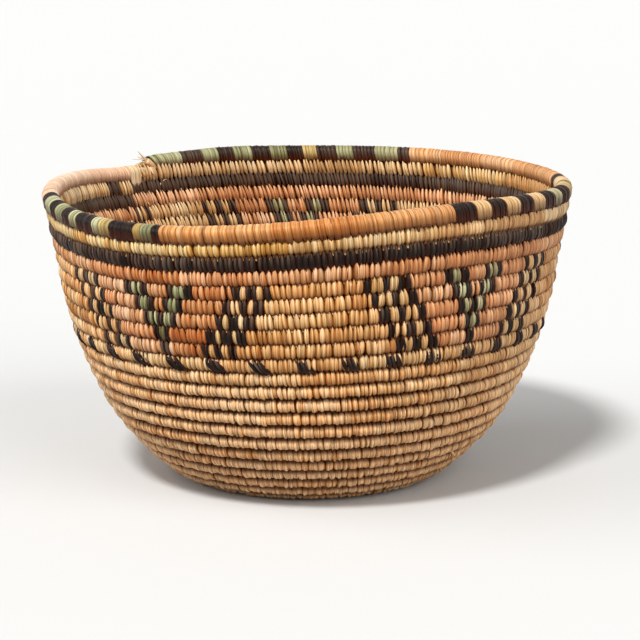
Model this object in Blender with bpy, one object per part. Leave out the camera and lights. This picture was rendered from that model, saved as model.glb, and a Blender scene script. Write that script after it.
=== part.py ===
"""Coiled basket: one long wrapped coil, wound from a knot in the floor up to the rim.

Metres, +Z up, the basket standing on z = 0 with its own axis on the Z axis.
Angles are measured from the front (-Y) towards the right (+X), so the coil
climbs as its angle grows. Turns are counted downwards from the coil's free end
at the rim, so turn 0 is the end of the rim and the last turn is at the knot.
"""
import math

import bmesh
import bpy
import numpy as np
from mathutils import Vector, kdtree

MM = 0.001

# The coil's centre line in section, as (radius, height), from the knot to past the rim
FLOOR_LEVEL = 4.6 * MM
COIL_SECTION = (
    (7.0 * MM, FLOOR_LEVEL),
    (38.0 * MM, FLOOR_LEVEL),
    (68.0 * MM, FLOOR_LEVEL),
    (81.5 * MM, 6.6 * MM),
    (91.4 * MM, 11.4 * MM),
    (107.0 * MM, 25.6 * MM),
    (126.5 * MM, 49.0 * MM),
    (144.0 * MM, 85.5 * MM),
    (156.0 * MM, 123.5 * MM),
    (160.3 * MM, 153.0 * MM),
    (164.5 * MM, 172.0 * MM),
    (166.4 * MM, 184.0 * MM),
    (166.6 * MM, 198.0 * MM),
    (166.4 * MM, 214.0 * MM),
)
RIM_END_HEIGHT = 196.3 * MM     # the coil's free end lies here, before the rim's waves

# The coil's spacing from turn to turn, and the slit left between turns
PITCH_AT_FOOT = 10.4 * MM
PITCH_AT_RIM = 9.5 * MM
PITCH_AT_KNOT = 7.8 * MM        # the first turn starts thin
FIRST_TURN_END = 14.8 * MM      # distance from the axis where the coil is at full thickness
START_THICKNESS = 4.2 * MM
SLIT = 0.6 * MM
END_GAP = 0.3 * MM              # between runs that meet end to end
RIM_EXTRA = 1.0 * MM             # the rim's close wraps make it this much thicker, all of it upwards

# The mouth is out of true by hand: waves as (number round the rim, size, angle of a high point)
RADIUS_WAVES = ((2, 0.032, -57.0), (3, 0.010, -2.0))
HEIGHT_WAVES = ((1, 4.7 * MM, 180.0), (2, 2.9 * MM, 50.0), (3, 2.2 * MM, 23.0))
WAVES_START = 47.0 * MM         # height below which the basket is true
WAVES_FULL = 190.0 * MM
WAVES_GROWTH = 1.5

# The wall sags a little under the overlapping ends of the rim: depth, angle, and how wide in degrees
SAG_DEPTH = 3.4 * MM
SAG_ANGLE = 232.0
SAG_WIDTH = 22.0

# The mouth's waves reach further to one side, so the axis stands this far off the box's middle
AXIS_PLACE = Vector((-0.9 * MM, 1.7 * MM, 0.0))

# Where the coil changes its wrapping, in degrees round the basket and in turns below the rim's end
SPLICE_ANGLE = 226.0
RIM_CUTS = (
    ("rim_tail_banded", 226.0, 153.5),
    ("rim_back_orange", 153.5, 99.8),
    ("rim_right_banded", 99.8, 31.0),
    ("rim_front_orange", 31.0, -30.3),
    ("rim_left_banded", -30.3, -77.0),
    ("rim_start_orange", -77.0, -130.0),
)
RIM_TURNS = (SPLICE_ANGLE + 130.0) / 360.0
COURSE_LEAD = 0.018             # each course starts this part of a turn above the rim's end
COURSES = (
    ("upper_straw_course", RIM_TURNS, 2 - COURSE_LEAD),
    ("dark_course", 2 - COURSE_LEAD, 3 - COURSE_LEAD),
    ("salmon_course", 3 - COURSE_LEAD, 4 - COURSE_LEAD),
    ("pattern_coil", 4 - COURSE_LEAD, 9 - COURSE_LEAD),
    ("tick_course", 9 - COURSE_LEAD, 10 - COURSE_LEAD),
    ("lower_wall_coil", 10 - COURSE_LEAD, 21 - COURSE_LEAD),
)

# The rim's free end, which thins out and frays
TAIL_THINNING = 85.0 * MM       # length over which the rim thins out to its shoulder
TAIL_SHOULDER = 7.6 * MM
TAIL_LENGTH = 9.0 * MM          # and from the shoulder to the end
TAIL_THICKNESS = 5.0 * MM
STUB_THICKNESS = 4.2 * MM
STUB_LENGTH = 3.0 * MM
FIBRE_THICKNESS = 0.9 * MM
FIBRE_STEPS = 3
FIBRES = (                      # root across and out of the wall, then reach along, up and out
    (1.2 * MM, 0.0, 4.0 * MM, 9.0 * MM, 0.5 * MM),
    (0.2 * MM, 1.3 * MM, 13.0 * MM, 3.0 * MM, 4.0 * MM),
    (0.0, -1.4 * MM, 15.0 * MM, 2.0 * MM, -3.0 * MM),
    (-1.3 * MM, 0.6 * MM, 17.0 * MM, 0.8 * MM, 1.5 * MM),
    (1.3 * MM, -1.3 * MM, 8.0 * MM, 5.5 * MM, -2.5 * MM),
)

KNOT_RADIUS = 4.4 * MM
KNOT_HEIGHT = 8.0 * MM
KNOT_CLEARANCE = 0.4 * MM       # height of the knot's underside
KNOT_SIDES = 12
KNOT_ROUNDING = 1.4 * MM

# The block of ground that flattens the coil where the basket stands
GROUND_WIDTH = 300.0 * MM
GROUND_DEPTH = 20.0 * MM

# How finely the coil is faceted
POINTS_PER_TURN = 23
SIDES = 6
SECTION_STEPS = 3000

STRAW = (0.75, 0.46, 0.20)
ORANGE = (0.66, 0.33, 0.13)
SALMON = (0.66, 0.29, 0.17)
DARK = (0.045, 0.026, 0.020)
GREEN = (0.30, 0.33, 0.14)
TAN = (0.42, 0.27, 0.13)
FIBRE = (0.62, 0.42, 0.20)


def clear_scene():
    for old in list(bpy.data.objects):
        bpy.data.objects.remove(old, do_unlink=True)


def material(name, colour, roughness=0.7):
    """A plain matt material for one kind of wrapping."""
    mat = bpy.data.materials.new(name)
    mat.use_nodes = True
    shader = mat.node_tree.nodes["Principled BSDF"]
    shader.inputs["Base Color"].default_value = (*colour, 1.0)
    shader.inputs["Roughness"].default_value = roughness
    shader.inputs["Metallic"].default_value = 0.0
    return mat


def add_object(name, mesh, colour):
    mesh.materials.append(material(name, colour))
    mesh.shade_smooth()
    mesh.set_sharp_from_angle(angle=math.radians(40))
    obj = bpy.data.objects.new(name, mesh)
    bpy.context.collection.objects.link(obj)
    return obj


def smooth_section(points, steps):
    """A smooth curve through the section's points: Catmull-Rom, spaced by chord length."""
    pts = np.array(points)
    knots = np.concatenate(([0.0], np.cumsum(np.sqrt(np.linalg.norm(np.diff(pts, axis=0), axis=1)))))
    ghost_first = 2 * pts[0] - pts[1]
    ghost_last = 2 * pts[-1] - pts[-2]
    pts = np.vstack((ghost_first, pts, ghost_last))
    knots = np.concatenate(([2 * knots[0] - knots[1]], knots, [2 * knots[-1] - knots[-2]]))
    curve = []
    for t in np.linspace(knots[1], knots[-2], steps):
        i = min(max(int(np.searchsorted(knots, t, side="right")) - 1, 1), len(pts) - 3)
        a, b, c, d = pts[i - 1:i + 3]
        ta, tb, tc, td = knots[i - 1:i + 3]
        ab = ((tb - t) * a + (t - ta) * b) / (tb - ta)
        bc = ((tc - t) * b + (t - tb) * c) / (tc - tb)
        cd = ((td - t) * c + (t - tc) * d) / (td - tc)
        abc = ((tc - t) * ab + (t - ta) * bc) / (tc - ta)
        bcd = ((td - t) * bc + (t - tb) * cd) / (td - tb)
        curve.append(((tc - t) * abc + (t - tb) * bcd) / (tc - tb))
    return np.array(curve)


class CoilLayout:
    """Turns the section curve into places: how far along it each turn of the coil lies."""

    def __init__(self):
        curve = smooth_section(COIL_SECTION, SECTION_STEPS)
        length = np.concatenate(([0.0], np.cumsum(np.linalg.norm(np.diff(curve, axis=0), axis=1))))
        self.radius = curve[:, 0]
        self.height = curve[:, 1]
        self.length = length + COIL_SECTION[0][0]
        self.end = float(np.interp(RIM_END_HEIGHT, self.height, self.length))
        self.full = COIL_SECTION[2][0]
        turns = np.concatenate(([0.0], np.cumsum(np.diff(self.length) / self.pitch(self.length[1:]))))
        self.turns_up = turns
        self.total = float(np.interp(self.end, self.length, turns))

    def pitch(self, length):
        """Spacing of the turns: thin at the knot, full on the floor, finer towards the rim."""
        up_wall = np.clip((length - self.full) / (self.end - self.full), 0.0, 1.0)
        even = PITCH_AT_FOOT + (PITCH_AT_RIM - PITCH_AT_FOOT) * up_wall
        return np.where(length < FIRST_TURN_END, PITCH_AT_KNOT, even)

    def along(self, turn):
        """Distance along the section of a turn counted down from the rim's end."""
        return float(np.interp(self.total - turn, self.turns_up, self.length))

    def thickness(self, turn, angle):
        """The coil from flat to flat: what the turns above and below leave, less a slit."""
        length = self.along(turn)
        if length < FIRST_TURN_END:
            share = (length - COIL_SECTION[0][0]) / (FIRST_TURN_END - COIL_SECTION[0][0])
            return START_THICKNESS + (PITCH_AT_FOOT - SLIT - START_THICKNESS) * share
        spacing = (self.wall_point(turn - 0.5, angle) - self.wall_point(turn + 0.5, angle)).length
        upwards = self.wall_point(turn - 1, angle) - self.wall_point(turn, angle)
        downwards = self.wall_point(turn, angle) - self.wall_point(turn + 1, angle)
        bend = upwards.angle(downwards)
        return (spacing - SLIT) / (1 + bend * math.tan(math.pi / SIDES) / 2)

    def wall_point(self, turn, angle):
        """A point of the wall's middle surface, with the mouth's waves."""
        length = self.along(turn)
        radius = float(np.interp(length, self.length, self.radius))
        height = float(np.interp(length, self.length, self.height))
        rise = min(max((height - WAVES_START) / (WAVES_FULL - WAVES_START), 0.0), 1.1) ** WAVES_GROWTH
        for count, size, high in RADIUS_WAVES:
            radius += COIL_SECTION[-1][0] * size * rise * math.cos(count * (angle - math.radians(high)))
        for count, size, high in HEIGHT_WAVES:
            height += size * rise * math.cos(count * (angle - math.radians(high)))
        from_sag = (math.degrees(angle) - SAG_ANGLE + 180.0) % 360.0 - 180.0
        height -= SAG_DEPTH * rise * math.exp(-(from_sag / SAG_WIDTH) ** 2)
        return AXIS_PLACE + Vector((radius * math.sin(angle), -radius * math.cos(angle), height))

    def ring(self, turn, extra=0.0):
        """Centre, direction across to the next turn, direction out of the wall, and thickness."""
        angle = math.radians(SPLICE_ANGLE) - 2 * math.pi * turn
        centre = self.wall_point(turn, angle)
        across = (self.wall_point(turn - 0.5, angle) - self.wall_point(turn + 0.5, angle)).normalized()
        side = Vector((math.cos(angle), math.sin(angle), 0.0))
        out = side.cross(across).normalized()
        size = self.thickness(turn, angle)
        if self.along(turn) < FIRST_TURN_END:
            centre.z *= size / (PITCH_AT_FOOT - SLIT)
        return centre + across * extra / 2, across, out, size + extra


def blend_rings(first, second, share, shift):
    """A ring on the straight chord between two rings, moved along it by shift."""
    chord = second[0] - first[0]
    centre = first[0].lerp(second[0], share) + chord.normalized() * shift
    across = first[1].lerp(second[1], share).normalized()
    out = first[2].lerp(second[2], share).normalized()
    size = first[3] + (second[3] - first[3]) * share
    return centre, across, out, size


def run_rings(layout, low_turn, high_turn, extra=0.0):
    """Rings of a run that climbs from low_turn up to high_turn, cut square on its chords."""
    def grid_turn(index):
        return (index + 0.5) / POINTS_PER_TURN

    def cut(turn, shift):
        position = turn * POINTS_PER_TURN - 0.5
        index = math.floor(position)
        share = min(max(position - index, 0.25), 0.75)
        lower = layout.ring(grid_turn(index + 1), extra)
        upper = layout.ring(grid_turn(index), extra)
        return index, blend_rings(lower, upper, 1.0 - share, shift)

    low_index, low_ring = cut(low_turn, END_GAP / 2)
    high_index, high_ring = cut(high_turn, -END_GAP / 2)
    middle = [layout.ring(grid_turn(i), extra) for i in range(low_index, high_index, -1)]
    return [low_ring] + middle + [high_ring]


def ring_corners(ring):
    """The section's corners, with two flats facing the turns above and below."""
    centre, across, out, size = ring
    corner = size / 2 / math.cos(math.pi / SIDES)
    corners = []
    for k in range(SIDES):
        turned = 2 * math.pi * (k + 0.5) / SIDES
        corners.append(centre + corner * (math.cos(turned) * across + math.sin(turned) * out))
    return corners


def tube_mesh(name, rings):
    """One unbroken tube through the rings, closed at both ends."""
    shape = bmesh.new()
    loops = []
    for ring in rings:
        loops.append([shape.verts.new(corner) for corner in ring_corners(ring)])
    for one, two in zip(loops, loops[1:]):
        for k in range(SIDES):
            after = (k + 1) % SIDES
            shape.faces.new((one[k], one[after], two[after], two[k]))
    shape.faces.new(loops[0][::-1])
    shape.faces.new(loops[-1])
    bmesh.ops.recalc_face_normals(shape, faces=shape.faces)
    mesh = bpy.data.meshes.new(name)
    shape.to_mesh(mesh)
    shape.free()
    return mesh


def least_gap(rings):
    """Least distance from a tube to its own other turns, on points of its faces."""
    points = []
    for number, (one, two) in enumerate(zip(rings, rings[1:])):
        start = ring_corners(one)
        finish = ring_corners(two)
        for k in range(SIDES):
            after = (k + 1) % SIDES
            for corner, other in ((start[k], start[after]), (finish[k], finish[after])):
                points.append((number, corner))
                points.append((number, corner.lerp(other, 0.5)))
            points.append((number, start[k].lerp(finish[k], 0.5)))
            points.append((number, start[k].lerp(finish[after], 0.5)))
    tree = kdtree.KDTree(len(points))
    for index, (_, place) in enumerate(points):
        tree.insert(place, index)
    tree.balance()
    least = None
    for number, place in points:
        for _, index, distance in tree.find_range(place, 3 * MM):
            apart = abs(points[index][0] - number)
            if apart > POINTS_PER_TURN // 2 and (least is None or distance < least):
                least = distance
    return least


def ground_block():
    """The ground below z = 0, which flattens the coil where the basket stands."""
    mesh = bpy.data.meshes.new("ground_block")
    shape = bmesh.new()
    bmesh.ops.create_cube(shape, size=1.0)
    bmesh.ops.scale(shape, vec=(GROUND_WIDTH, GROUND_WIDTH, GROUND_DEPTH), verts=shape.verts)
    bmesh.ops.translate(shape, vec=(0.0, 0.0, -GROUND_DEPTH / 2), verts=shape.verts)
    shape.to_mesh(mesh)
    shape.free()
    block = bpy.data.objects.new("ground_block", mesh)
    block.hide_render = True
    block.display_type = "WIRE"
    bpy.context.collection.objects.link(block)
    return block


def stand_on_ground(obj, block):
    cut = obj.modifiers.new("flat_foot", "BOOLEAN")
    cut.operation = "DIFFERENCE"
    cut.solver = "EXACT"
    cut.object = block


def add_courses(layout):
    """The coil's runs from the floor up to the one below the rim."""
    colours = {
        "upper_straw_course": STRAW,
        "dark_course": DARK,
        "salmon_course": SALMON,
        "pattern_coil": SALMON,
        "tick_course": TAN,
        "lower_wall_coil": STRAW,
    }
    for name, high_turn, low_turn in COURSES:
        rings = run_rings(layout, low_turn, high_turn)
        add_object(name, tube_mesh(name, rings), colours[name])
        report_gap(name, rings)


def add_floor(layout, block):
    """The floor's flat spiral, from its thin start beside the knot to the wall."""
    low_turn = layout.total - 0.5 / POINTS_PER_TURN
    rings = run_rings(layout, low_turn, COURSES[-1][2])
    floor = add_object("floor_coil", tube_mesh("floor_coil", rings), STRAW)
    report_gap("floor_coil", rings)
    stand_on_ground(floor, block)
    knot = bpy.data.meshes.new("start_knot")
    shape = bmesh.new()
    bmesh.ops.create_cone(shape, cap_ends=True, segments=KNOT_SIDES, radius1=KNOT_RADIUS,
                          radius2=KNOT_RADIUS, depth=KNOT_HEIGHT)
    middle = AXIS_PLACE + Vector((0.0, 0.0, KNOT_CLEARANCE + KNOT_HEIGHT / 2))
    bmesh.ops.translate(shape, vec=middle, verts=shape.verts)
    shape.to_mesh(knot)
    shape.free()
    knot_object = add_object("start_knot", knot, STRAW)
    rounding = knot_object.modifiers.new("rounding", "BEVEL")
    rounding.width = KNOT_ROUNDING
    rounding.segments = 1


def tapered_tail(rings):
    """Thins the rim towards its free end, lowering it on to the course below."""
    before, end = rings[-2:]
    span = (end[0] - before[0]).length
    shoulder = blend_rings(before, end, 1.0 - TAIL_LENGTH / span, 0.0)
    thinned = []
    for ring in rings[:-1] + [shoulder, end]:
        centre, across, out, size = ring
        share = min((centre - end[0]).length / TAIL_THINNING, 1.0)
        thickness = TAIL_SHOULDER + (size - TAIL_SHOULDER) * share * share * (3 - 2 * share)
        if ring is end:
            thickness = TAIL_THICKNESS
        thinned.append((centre - across * (size - thickness) / 2, across, out, thickness))
    return thinned


def add_rim(layout):
    """The rim's six lengths, each wound close with its own splints."""
    tail = None
    for name, high_angle, low_angle in RIM_CUTS:
        high_turn = (SPLICE_ANGLE - high_angle) / 360.0
        low_turn = (SPLICE_ANGLE - low_angle) / 360.0
        rings = run_rings(layout, low_turn, high_turn, RIM_EXTRA)
        if tail is None:
            rings = tapered_tail(rings)
            tail = rings[-1]
        colour = ORANGE if name.endswith("orange") else GREEN
        add_object(name, tube_mesh(name, rings), colour)
    return tail


def add_rim_end_fibres(tail):
    """The bundle inside the coil, which shows at the rim's cut end and frays into loose fibres."""
    centre, across, out, _ = tail
    onward = across.cross(out).normalized()
    root = centre + onward * END_GAP
    stub = [(root, across, out, STUB_THICKNESS),
            (root + onward * STUB_LENGTH, across, out, STUB_THICKNESS * 0.8)]
    bundle = add_object("rim_end_fibres", tube_mesh("rim_end_fibres", stub), FIBRE)
    for number, (up_root, out_root, reach, rise, spread) in enumerate(FIBRES):
        start = root + onward * STUB_LENGTH / 2 + across * up_root + out * out_root
        rings = []
        for step in range(FIBRE_STEPS + 1):
            share = step / FIBRE_STEPS
            bent = share * share
            place = start + onward * reach * share + across * rise * bent + out * spread * bent
            rings.append((place, across, out, FIBRE_THICKNESS * (1.0 - 0.4 * share)))
        strand = add_object(f"fibre_{number}", tube_mesh(f"fibre_{number}", rings), FIBRE)
        strand.hide_render = True
        strand.display_type = "WIRE"
        joined = bundle.modifiers.new(f"fibre_{number}", "BOOLEAN")
        joined.operation = "UNION"
        joined.solver = "EXACT"
        joined.object = strand


def report_gap(name, rings):
    gap = least_gap(rings)
    if gap is None:
        print(f"{name}: no other turn within 3 mm")
    else:
        print(f"{name}: least gap to itself {gap / MM:.2f} mm")


def build():
    clear_scene()
    layout = CoilLayout()
    print(f"turns of the coil: {layout.total:.2f}")
    block = ground_block()
    add_floor(layout, block)
    add_courses(layout)
    tail = add_rim(layout)
    add_rim_end_fibres(tail)


build()
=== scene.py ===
"""Looks of the coiled basket: every stitch of its wrapping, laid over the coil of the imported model.

Metres, +Z up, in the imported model's frame. Angles are measured from the front (-Y)
towards the right (+X). Turns are counted down from the coil's free end at the rim.
A wall direction "across" points to the next turn, "out" points out of the basket,
and "side" points along the coil, the way in which the angle grows.
"""
import bisect
import math

import bpy
import numpy as np
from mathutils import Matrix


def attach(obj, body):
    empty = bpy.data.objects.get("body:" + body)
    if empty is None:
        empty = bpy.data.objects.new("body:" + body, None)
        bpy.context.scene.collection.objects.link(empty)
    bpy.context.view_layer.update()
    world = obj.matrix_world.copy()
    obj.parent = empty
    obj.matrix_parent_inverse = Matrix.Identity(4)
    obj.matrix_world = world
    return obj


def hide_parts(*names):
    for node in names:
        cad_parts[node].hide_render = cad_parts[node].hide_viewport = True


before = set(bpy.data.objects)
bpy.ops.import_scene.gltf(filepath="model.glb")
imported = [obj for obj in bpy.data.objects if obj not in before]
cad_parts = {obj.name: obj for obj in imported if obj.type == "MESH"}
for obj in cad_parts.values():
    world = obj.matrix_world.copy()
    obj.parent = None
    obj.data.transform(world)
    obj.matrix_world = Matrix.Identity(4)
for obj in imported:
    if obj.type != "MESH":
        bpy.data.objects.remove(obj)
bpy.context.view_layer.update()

MM = 0.001
BODY = "root"

# The coil's layout, which repeats the construction's driving dimensions
COIL_SECTION = tuple((radius * MM, height * MM) for radius, height in (
    (7.0, 4.6), (38.0, 4.6), (68.0, 4.6), (81.5, 6.6), (91.4, 11.4), (107.0, 25.6), (126.5, 49.0),
    (144.0, 85.5), (156.0, 123.5), (160.3, 153.0), (164.5, 172.0), (166.4, 184.0), (166.6, 198.0),
    (166.4, 214.0),
))
FLOOR_LEVEL = COIL_SECTION[0][1]
MOUTH_RADIUS = COIL_SECTION[-1][0]
SECTION_STEPS = 3000
RIM_END_HEIGHT = 196.3 * MM
PITCH_AT_FOOT = 10.4 * MM
PITCH_AT_RIM = 9.5 * MM
PITCH_AT_KNOT = 7.8 * MM
FIRST_TURN_END = 14.8 * MM
SLIT = 0.6 * MM
RIM_EXTRA = 1.0 * MM
RADIUS_WAVES = ((2, 0.032, -57.0), (3, 0.010, -2.0))
HEIGHT_WAVES = ((1, 4.7 * MM, 180.0), (2, 2.9 * MM, 50.0), (3, 2.2 * MM, 23.0))
WAVES_START = 47.0 * MM
WAVES_FULL = 190.0 * MM
WAVES_GROWTH = 1.5
SAG_DEPTH = 3.4 * MM
SAG_ANGLE = 232.0
SAG_WIDTH = 22.0
AXIS_PLACE = np.array((-0.9 * MM, 1.7 * MM, 0.0))
SPLICE_ANGLE = 226.0
RIM_START_ANGLE = -130.0
RIM_TURNS = (SPLICE_ANGLE - RIM_START_ANGLE) / 360.0

# The coil's runs from the rim down, as (CAD node, the turn where it ends), each ending a little higher
COURSE_LEAD = 0.018
RUNS = (
    ("upper_straw_course", 2), ("dark_course", 3), ("salmon_course", 4), ("pattern_coil", 9),
    ("tick_course", 10), ("lower_wall_coil", 21), ("floor_coil", None),
)

# The stitches of the wall and the floor
STITCH_SPACING = 3.15 * MM
FIRST_ROW_SPACING = 3.6 * MM
SPACING_SWELLS = ((0.37, 0.06), (1.7, 0.05))  # slow changes of the spacing: per turn, share
CLOSE_ANGLE = -45.0  # the golden stitches are set closer to the left of this angle
CLOSE_SHARE = 0.82
SHORT_RUN_SPACING = 2.9 * MM  # in patches of one colour that are only a few stitches long
SHORT_RUN = 6
SHORT_RUN_JITTER = 0.10
COLOUR_STEP = 0.0005  # of a turn, between the places where the colour is looked up
SPACING_SPREAD = 0.20
SPACING_LIMITS = (0.55, 1.3)
WIDTH_LIMITS = (0.6 * STITCH_SPACING, 1.6 * STITCH_SPACING)
TIP_REACH = 0.7 * STITCH_SPACING  # how far along the coil a tip can be drawn
RADIUS_STEP = 0.01  # of a turn, between the places where the coil's radius is known
GAP_PULL = 0.8  # how far a new stitch is drawn over the gap between two stitches below
GAP_REACH = 0.3
STITCH_OVERLAP = 1.30
CROWN = 1.25 * MM
UNDERSIDE = 0.6 * MM
OUTER_LEAN = 0.75 * MM  # how far a stitch's top stands back along the coil, and its tip ahead
INNER_LEAN = 1.8 * MM
INNER_WIDTH = 0.87
LEAN_SPREAD = 0.4 * MM
INNER_FADING = 0.80  # the dark splints have faded inside
INNER_TONE = -0.06
GROUND_PRESS = 0.6 * MM
GROUND_GAP = 0.1 * MM

# A stitch's line over the coil: (across, in spacings of the turns; out of the wall, in mm; width; crown)
LINE_UNITS = (1.0, MM, 1.0, 1.0)
UPPER_LINE = LINE_UNITS * np.array((
    (0.57, 1.6, 0.07, 0.5), (0.49, 2.5, 0.36, 0.75), (0.37, 3.3, 0.73, 0.95), (0.17, 3.95, 1.0, 1.0),
    (-0.07, 4.15, 1.08, 1.05), (-0.30, 3.7, 1.04, 1.0), (-0.46, 2.9, 0.74, 0.9), (-0.59, 2.8, 0.44, 0.8),
    (-0.71, 3.5, 0.22, 0.6),
))
LOWER_LINE = LINE_UNITS * np.array((  # lower down the stitches are blunter, and sink into the seams
    (0.50, 0.2, 0.40, 0.5), (0.44, 1.9, 0.76, 0.8), (0.35, 3.5, 0.96, 1.0), (0.22, 4.6, 1.04, 1.0),
    (0.06, 5.0, 1.08, 1.0), (-0.10, 4.8, 1.08, 1.0), (-0.25, 3.8, 1.04, 1.0), (-0.37, 2.0, 0.90, 0.8),
    (-0.46, 0.0, 0.50, 0.6),
))
INNER_LINE = LINE_UNITS * np.array((
    (0.70, 2.4, 0.05, 0.5), (0.56, 3.4, 0.30, 0.8), (0.38, 3.9, 0.62, 1.0), (0.12, 4.3, 0.92, 1.1),
    (-0.18, 4.3, 0.98, 1.1), (-0.42, 3.9, 0.74, 1.0), (-0.66, 3.0, 0.24, 0.6),
))
SLIP_SPREAD = 0.02  # in spacings of the turns
LIFT_SPREAD = 0.12 * MM
CROWN_SPREAD = (0.8, 1.15)
LOWER_ROWS = (8.5, 11.5)  # the turns over which the one gives way to the other
LOWER_STRAIGHT = 0.6  # how much straighter the stitches are there
LOWER_TONE = -0.40
LOWER_WARMTH = 0.38
LOWER_WARMTH_SHARE = 0.6
TOP_ROWS = (1.5, 4.5)  # the turns under the rim that are drawn in, less and less
DRAWN_IN = 0.85 * MM
FIRST_ROW_LONGER = 0.09  # the first row's tips reach down over the dark row
FIRST_ROW_WIDER = 1.5
CLEAN_START = 0.27  # share of its length before which a stitch looks the same
LOWER_REACH = 0.81  # share of its length after which a stitch looks the same
FOOT_ROWS_SHADE_SHIFT = 0.13  # how far back along a stitch its looks are set at the foot of the wall, which draws the painted shade of its head, cast by the row above, further down it
FOOT_NARROWER = 0.12  # the rows' stitches reach less far into the seams at the foot
INNER_REACH = 0.64

# A stitch's own section: (place across its width, height as a share of the crown)
STITCH_SECTION = ((-1.0, 0.0), (-0.66, 0.66), (-0.25, 0.97), (0.25, 0.97), (0.66, 0.66), (1.0, 0.0))
RIDGE_SHIFT = 0.35  # how far a stitch's ridge can stand from its middle
FOLD_SPREAD = 0.20  # lengthwise folds, as a share of the crown
GROOVED_SHARE = 0.6  # stitches that show the splint split along its length
GROOVE_DEPTH = (0.35, 0.8)

# A splint makes a few stitches before the next one takes over, and each has its own tone
SPLINT_RUN = (4, 20)
SPLINT_TONE = 0.46
SPLINT_TONE_SPREAD = 0.19
STITCH_TONE_SPREAD = 0.14
FOOT_ROWS = (9.0, 19.0)  # the wall darkens towards the foot, as painted shade
FOOT_ROWS_SHADE_TONE = -0.02
FOOT_ROWS_SHADE_WARMTH = 0.6
GREEN_PALER = 0.30  # the green splints are paler on the right
FADING = 0.38
LEFT_PAINTED_LIGHT = 0.22  # painted light: the splints are paler on the left, as if lit more from that side
INNER_FADE = 0.20

# The rim's close wraps
RIM_ARC_STEPS = 11
RIM_ARC = (196.0, -16.0)  # degrees round the rim's section, from straight out of the wall
RIM_INSIDE = (  # then on, down inside and outside: (above the rim's underside, out, width)
    (-1.3 * MM, 3.6 * MM, 0.35),
    (0.5 * MM, 4.6 * MM, 0.9),
)
RIM_OUTSIDE = (
    (0.85 * MM, 5.45 * MM, 1.0),
    (-0.75 * MM, 4.4 * MM, 0.85),
    (-2.0 * MM, 3.1 * MM, 0.40),
)
RIM_END_SPREAD = 0.8 * MM
RIM_CROWN = 0.28 * MM
RIM_TONE_SHARE = 0.6  # the rim's wraps differ less from each other than stitches
BAND_CROWNS = {"orange": 0.27 * MM, "rose": 0.22 * MM, "dark": 0.42 * MM}
RIM_COVER = 0.9 * MM  # thickness of the wrapping over the rim's bundle
RIM_BUNDLE_EXTRA = 0.6 * MM  # the bundle fills the slit under the rim
RIM_FULLNESS = (1.25, 1.04)  # outside and inside
RIM_OVERLAP = 1.2
RIM_TILT = 0.5
RIM_LEAN = 2.4 * MM
TAIL_LEAN = 3.5 * MM
TAIL_LEAN_LENGTH = 28.0 * MM
RIM_WARMTH_SHARE = 0.3
WRAP_SLIP = 0.15 * MM
USUAL_WRAP = 2.6 * MM  # the width at which a wrap has its usual crown
WRAP_CROWN_LIMITS = (0.6, 1.4)
THIN_WRAP = (1.8 * MM, 3.0 * MM)
WIDE_WRAP = (3.4 * MM, 5.2 * MM)
WIDE_SHARE = {"orange": 0.45, "rose": 0.2}
FEW_WIDE = 0.15
TAIL_THINNING = 85.0 * MM
TAIL_SHOULDER = 7.6 * MM
TAIL_LENGTH = 9.0 * MM
TAIL_THICKNESS = 5.0 * MM

# The bundle inside the coil, as shares of the turns' spacing
BUNDLE_TALL = 0.54
BUNDLE_THICK = 0.36
BUNDLE_SIDES = 10
BUNDLE_STEPS = 72

# The splice of the rim: wide wraps over its start, and straws and fibres of its end
WIDE_WRAPS = ((-129.6, 0.30), (-127.9, 0.12))  # (angle, tone)
WIDE_WRAP_INSIDE = ((-3.8 * MM, 5.1 * MM, 0.3), (-0.8 * MM, 5.4 * MM, 0.85))
WIDE_WRAP_WIDTH = 5.6 * MM
WIDE_WRAP_THICKER = 0.9 * MM
WIDE_WRAP_WARMTH = 0.1
LYING_FIBRES = 14
STANDING_FIBRES = MM * np.array((  # reach along, up and out, and width
    (9.0, 6.5, 1.0, 1.3), (12.0, 3.0, -2.0, 1.0), (14.0, 1.0, 2.0, 1.1), (6.0, 2.5, 2.5, 0.9),
))
FIBRE_ROOT = 2 * MM  # how far inside the rim's end the fibres start
FIBRE_FILL = 0.8  # how much of the end's section they fill
FIBRE_STANDING = 0.35  # where the standing ones start, in thicknesses above the middle
FIBRE_REACH = (4.0, 13.0)  # the lying ones, in mm: along, down, out, and width
FIBRE_DROP = (0.5, 3.0)
FIBRE_OUT = 1.6
FIBRE_WIDTH = (0.5, 1.6)
FIBRE_BEND = 0.6  # the share of the way sideways that is a bend
FIBRE_TONE = -0.15
STRAW_ENDS = 16
STRAW_ANGLES = (224.5, 229.5)
STRAW_HEIGHT = 0.45  # where the straws start, in spacings of the turns
STRAW_INSET = (1.5, 4.0)  # then in mm: inwards, and their reach down, along and in
STRAW_DROP = (4.5, 7.5)
STRAW_ALONG = (-0.5, 2.5)
STRAW_BEND = (0.5, 1.5)
STRAW_SET_IN = 3.0 * MM
STRAW_BACK_OUT = 2.0 * MM
STRAW_WIDTH = (1.8, 3.2)
STRAW_TONE = 0.05
FLAT_STRAND_WIDTH = 4.6 * MM
FLAT_STRAND_START = (-1.0 * MM, -3.9 * MM, 2.5 * MM)  # across, out and along
FLAT_STRAND_REACH = (-4.0 * MM, -1.2 * MM, -9.0 * MM)
FLAT_STRAND_BEND = (-1.5 * MM, 1.0 * MM, 0.0)
FLAT_STRAND_TONE = -0.1
RIBBON_STEPS = 8
RIBBON_SIDES = 6
RIBBON_TAPER = 0.65
RIBBON_FLATNESS = 0.4
RIBBON_TONE_SPREAD = 0.12
RIBBON_WARMTH = 0.4
LOOSE_END_START = 4.6 * MM
LOOSE_END_WIDTH = 1.6 * MM
LOOSE_END_TONE = 0.2
LOOSE_END_BEND = (-0.35, 0.3)  # as shares of the reach across and along
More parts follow.
